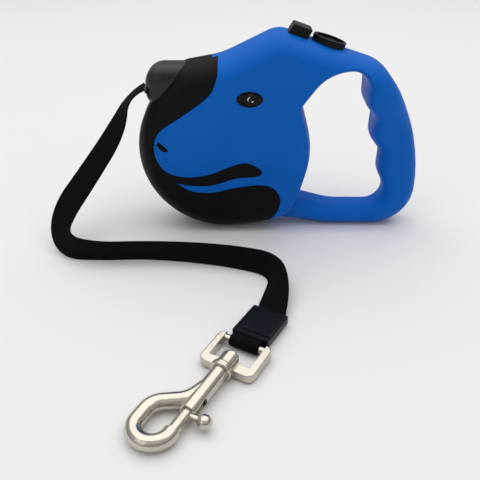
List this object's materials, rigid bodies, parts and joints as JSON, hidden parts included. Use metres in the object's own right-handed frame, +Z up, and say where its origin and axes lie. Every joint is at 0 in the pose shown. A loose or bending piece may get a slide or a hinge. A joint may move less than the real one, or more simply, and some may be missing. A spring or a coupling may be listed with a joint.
{
  "type": "retractable leash",
  "caption": "Retractable webbing leash: hand-held casing with a finger loop, spring spool, brake button with lock, and a swivel bolt hook at the end of its tape.",
  "frame": {"origin": "bottom centre of the casing: middle of its length and thickness, on the surface it stands on", "axes": "+X from the nose to the grip, +Y through the casing from its front face to its rear face, +Z up"},
  "size_m": [0.2116, 0.2035, 0.121],
  "materials": {
    "blue_plastic": "satin moulded ABS",
    "soft_black": "matte soft-touch overmould",
    "black_plastic": "fine matte",
    "gloss_black": "polished",
    "white_plastic": "natural acetal",
    "steel": "turned",
    "zinc_steel": "zinc plated",
    "spring_steel": "oiled",
    "nickel": "bright nickel plate over zinc casting",
    "webbing": "woven nylon tape"
  },
  "bodies": {
    "casing": {"front_shell": "blue_plastic", "rear_shell": "blue_plastic", "front_mask": "soft_black", "rear_mask": "soft_black", "front_eye": "gloss_black", "rear_eye": "gloss_black", "nose_guide": "soft_black", "casing_screws": "zinc_steel", "axle": "steel", "spring_arbor": "white_plastic", "tape_inner": "webbing", "brake_spring": "spring_steel", "leash_tape": "webbing", "tape_sleeve": "black_plastic", "tape_loop": "webbing"},
    "spool": {"spool_drum": "white_plastic", "rear_flange": "white_plastic", "spring_cover": "white_plastic", "spool_screws": "zinc_steel", "power_spring": "spring_steel", "tape_roll": "webbing"},
    "brake": {"brake_button": "black_plastic"},
    "lock": {"lock_slider": "black_plastic"},
    "eye": {"swivel_eye": "nickel"},
    "hook": {"hook_body": "nickel", "swivel_post": "nickel", "bolt_spring": "spring_steel"},
    "bolt": {"hook_bolt": "nickel", "bolt_knob": "nickel"}
  },
  "joints": [
    {"name": "spool_spin", "type": "hinge", "parent": "casing", "child": "spool", "pos_m": [-0.0325, 0, 0.05], "axis": [0, 1, 0], "continuous": true},
    {"name": "brake_press", "type": "slide", "parent": "casing", "child": "brake", "axis": [-0.5262, 0, -0.8504], "range_m": [0, 0.0042], "stiffness_N_per_m": 800, "springref_m": -0.002, "deforming": ["brake_spring"]},
    {"name": "lock_slide", "type": "slide", "parent": "casing", "child": "lock", "axis": [0.9521, 0, -0.3057], "range_m": [0, 0.003]},
    {"name": "eye_hinge", "type": "hinge", "parent": "casing", "child": "eye", "pos_m": [-0.02111, -0.12365, 0.00357], "axis": [-0.8733, 0.4872, 0], "range_deg": [0, 110]},
    {"name": "hook_swivel", "type": "hinge", "parent": "eye", "child": "hook", "pos_m": [-0.0309, -0.1412, 0.0056], "axis": [-0.4868, -0.8727, -0.0384], "continuous": true},
    {"name": "bolt_slide", "type": "slide", "parent": "hook", "child": "bolt", "axis": [0.4868, 0.8727, 0.0384], "range_m": [0, 0.008], "stiffness_N_per_m": 500, "springref_m": -0.002, "deforming": ["bolt_spring"]}
  ]
}
